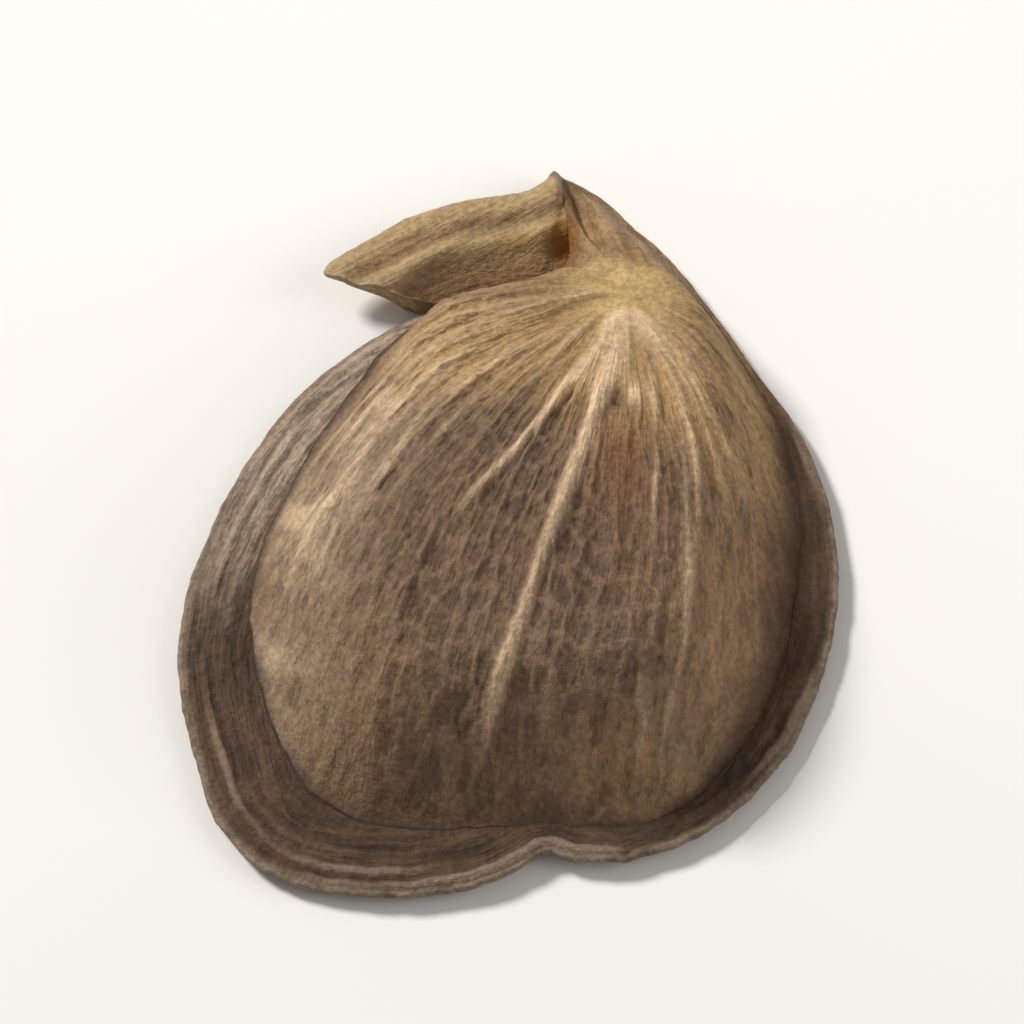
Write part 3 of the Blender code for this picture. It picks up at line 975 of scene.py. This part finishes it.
def blended(tree, amount, first, second, blend="MIX"):
    # colour mix: sockets 6 and 7 are the colours of the Mix node, 0 its factor, and output 2 the colour
    mix = addNode(tree, "ShaderNodeMix", data_type="RGBA", blend_type=blend, clamp_factor=True)
    for index, value in ((0, amount), (6, first), (7, second)):
        if isinstance(value, bpy.types.NodeSocket):
            tree.links.new(value, mix.inputs[index])
        elif index == 0:
            mix.inputs[index].default_value = value
        else:
            mix.inputs[index].default_value = (*value, 1.0)
    return mix.outputs[2]


def mixed(tree, parts, weights):
    # numbers times their weights, added up in order
    total = None
    for name, weight in weights.items():
        part = times(tree, parts[name], weight)
        total = part if total is None else plus(tree, total, part)
    return total


def shareOf(tree, parts, factors):
    # product of numbers: each as it is, times a weight, or through a smooth step
    share = None
    for name, *limits in factors:
        value = parts[name]
        if len(limits) == 1:
            value = times(tree, value, limits[0])
        elif limits:
            value = ranged(tree, value, *limits)
        share = value if share is None else times(tree, share, value)
    return share


def straightPath(tree, place, axis, size):
    # coordinates turned to a straight axis and divided by a size
    return addNode(tree, "ShaderNodeMapping", {"Vector": place, "Rotation": (0.0, 0.0, axis), "Scale": size},
                   vector_type="TEXTURE").outputs[0]


def fineNetOf(tree, fan):
    # 1 on the borders of small cells along the rib lines, 0 inside them; the cells are bent by noise
    waves, detail, size = look["netBend"]
    bend = addNode(tree, "ShaderNodeTexNoise", {"Vector": fan, "Scale": waves, "Detail": detail})
    path = addNode(tree, "ShaderNodeVectorMath", {
        0: bend.outputs["Color"], 1: (size, size, size), 2: stretched(tree, fan, look["netCells"])},
        operation="MULTIPLY_ADD").outputs["Vector"]
    cell = addNode(tree, "ShaderNodeTexVoronoi", {"Vector": path, "Scale": 1.0}, feature="DISTANCE_TO_EDGE")
    return ranged(tree, cell.outputs["Distance"], *look["netVein"])


def huskParts(tree):
    # everything the finish is made from: numbers kept on the mesh, noise patterns, and mixes of both
    parts, vectors = {"one": 1.0}, {}
    for group, names in huskNumbers.items():
        vectors[group] = addNode(tree, "ShaderNodeAttribute", attribute_name=group).outputs["Vector"]
        parts.update(zip(names, addNode(tree, "ShaderNodeSeparateXYZ", {0: vectors[group]}).outputs))
    fan, place = vectors["fan"], addNode(tree, "ShaderNodeTexCoord").outputs["Object"]
    paths = {"streak": fan, "band": fan, "thread": fan, "rimStreak": vectors["rim"],
             "neckStreak": straightPath(tree, place, look["neckAxis"], look["neckStreak"]),
             "lipStreak": straightPath(tree, place, look["lipAxis"], look["lipStreak"])}
    for name, (factors, detail, rough, warp) in huskPatterns.items():
        path = stretched(tree, paths.get(name, place), factors)
        parts[name] = noiseOf(tree, path, 1.0, detail, rough, warp)
    parts["fineNet"] = fineNetOf(tree, fan)
    for name, weights in huskMixes.items():
        parts[name] = mixed(tree, parts, weights)
    fromApex = ranged(tree, parts["away"], *look["baseFromApex"])
    parts["baseTone"] = blended(tree, fromApex, parts["mottle"], parts["baseTone"])
    return parts


def huskColour(tree, parts):
    # wall and rim, then painted shade in the creases, the dark pit, the flat inner face, and the grain over
    # all
    colours = dict(look)
    for name, (shade, light, tone, low, high) in huskPairs.items():
        share = ranged(tree, parts[tone], low, high)
        colours[name] = blended(tree, share, look[shade], look[light])

    def laidOver(colour, name):
        # the layers of one part of the husk over a colour
        for over, *factors in huskLayers[name]:
            colour = blended(tree, shareOf(tree, parts, factors), colour, colours[over])
        return colour

    rim, wall = laidOver(colours["rim"], "rim"), laidOver(colours["husk"], "wall")
    colour = laidOver(blended(tree, parts["wall"], rim, wall), "whole")
    colour = blended(tree, 1.0, colour, ranged(tree, parts["grain"], *look["grain"]), "MULTIPLY")
    return blended(tree, ranged(tree, parts["fleck"], *look["fleck"]), colour, look["furrow"])


def huskBump(tree, parts):
    # fine relief: threads along the ribs, streaks along the rim, the lip and the neck, and grain
    fromApex = ranged(tree, parts["away"], *look["bumpFromApex"])
    wall = blended(tree, fromApex, parts["apexRelief"], parts["wallRelief"])
    wall = blended(tree, parts["neck"], wall, parts["neckRelief"])
    rim = blended(tree, parts["lip"], parts["rimRelief"], parts["lipRelief"])
    height = plus(tree, blended(tree, parts["wall"], rim, wall), parts["grainRelief"])
    return addNode(tree, "ShaderNodeBump", {
        "Strength": look["bumpStrength"], "Distance": look["bumpHeight"],
        "Height": height}).outputs["Normal"]


def huskMaterial():
    # the one finish of the seed
    material = bpy.data.materials.new("dry_husk_finish")
    material.use_nodes = True
    tree = material.node_tree
    shader = tree.nodes["Principled BSDF"]
    parts = huskParts(tree)
    tree.links.new(huskColour(tree, parts), shader.inputs["Base Color"])
    tree.links.new(ranged(tree, parts["deep"], *look["rough"]), shader.inputs["Roughness"])
    tree.links.new(huskBump(tree, parts), shader.inputs["Normal"])
    shader.inputs["Specular IOR Level"].default_value = look["specular"]
    shader.inputs["Sheen Weight"].default_value = look["sheen"]
    return material


seedHusk = buildSeed()
seedHusk.data.materials.append(huskMaterial())
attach(seedHusk, "root")
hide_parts("seed")
print("husk finished")

studio = {
    "floorSize": 6.0,   # metres
    "floorColour": (0.80, 0.79, 0.765),
    "floorCloud": (0.72, 0.71, 0.69),
    "cloudWaves": 9.0,
    "cloudTone": (0.35, 0.65),
    "floorRoughness": 0.9,
    "worldColour": (1.0, 0.985, 0.965),
    "worldStrength": 0.32,
    "lights": (
        # name, place in metres, size, power in watts and colour; each points at the seed
        ("window", (-0.34, 0.20, 0.34), 0.13, 3.25, (1.0, 0.98, 0.94)),
        ("filler", (0.46, -0.02, 0.27), 0.40, 1.05, (1.0, 0.98, 0.95)),
    ),
    "viewAzimuth": 5.5,
    "viewElevation": 62.0,
    "viewDistance": 0.34,
    "lens": 680.0,
    "aim": (-0.0001, 0.0, 0.0012),
    "clip": (0.02, 20.0),
}


def makeFloor():
    # a square floor with a faint cloudy tone
    half = studio["floorSize"] / 2.0
    corner = np.array([[-1, -1, 0], [1, -1, 0], [1, 1, 0], [-1, 1, 0]]) * half
    mesh = bpy.data.meshes.new("studio_floor")
    mesh.from_pydata(corner.tolist(), [], [(0, 1, 2, 3)])
    floor = bpy.data.objects.new("studio_floor", mesh)
    bpy.context.scene.collection.objects.link(floor)
    material = bpy.data.materials.new("pale_floor")
    material.use_nodes = True
    tree = material.node_tree
    shader = tree.nodes["Principled BSDF"]
    place = addNode(tree, "ShaderNodeTexCoord").outputs["Object"]
    cloud = ranged(tree, noiseOf(tree, place, studio["cloudWaves"], 3.0, 0.5), *studio["cloudTone"])
    colour = blended(tree, cloud, studio["floorColour"], studio["floorCloud"])
    tree.links.new(colour, shader.inputs["Base Color"])
    shader.inputs["Roughness"].default_value = studio["floorRoughness"]
    mesh.materials.append(material)


def pointAt(item, target):
    # turns a lamp or a camera to a place
    item.rotation_euler = (Vector(target) - item.location).to_track_quat("-Z", "Y").to_euler()


def makeLights():
    # round soft lamps that point at the seed, and an even sky
    for name, where, size, power, colour in studio["lights"]:
        data = bpy.data.lights.new(name, "AREA")
        data.shape = "DISK"
        data.size = size
        data.energy = power
        data.color = colour
        lamp = bpy.data.objects.new(name, data)
        lamp.location = where
        bpy.context.scene.collection.objects.link(lamp)
        pointAt(lamp, (0.0, 0.0, 0.0))
    world = bpy.data.worlds.new("studio_sky")
    world.use_nodes = True
    sky = world.node_tree.nodes["Background"]
    sky.inputs["Color"].default_value = (*studio["worldColour"], 1.0)
    sky.inputs["Strength"].default_value = studio["worldStrength"]
    bpy.context.scene.world = world


def makeCamera():
    # looks at the seed from a direction and a height, both in degrees
    turn, rise = math.radians(studio["viewAzimuth"]), math.radians(studio["viewElevation"])
    aim = Vector(studio["aim"])
    away = Vector((math.sin(turn) * math.cos(rise), -math.cos(turn) * math.cos(rise), math.sin(rise)))
    data = bpy.data.cameras.new("photo_view")
    data.lens = studio["lens"]
    data.clip_start, data.clip_end = studio["clip"]
    camera = bpy.data.objects.new("photo_view", data)
    camera.location = aim + away * studio["viewDistance"]
    bpy.context.scene.collection.objects.link(camera)
    pointAt(camera, aim)
    bpy.context.scene.camera = camera


makeFloor()
makeLights()
makeCamera()
bpy.context.scene.view_settings.view_transform = "Standard"
print("studio ready")
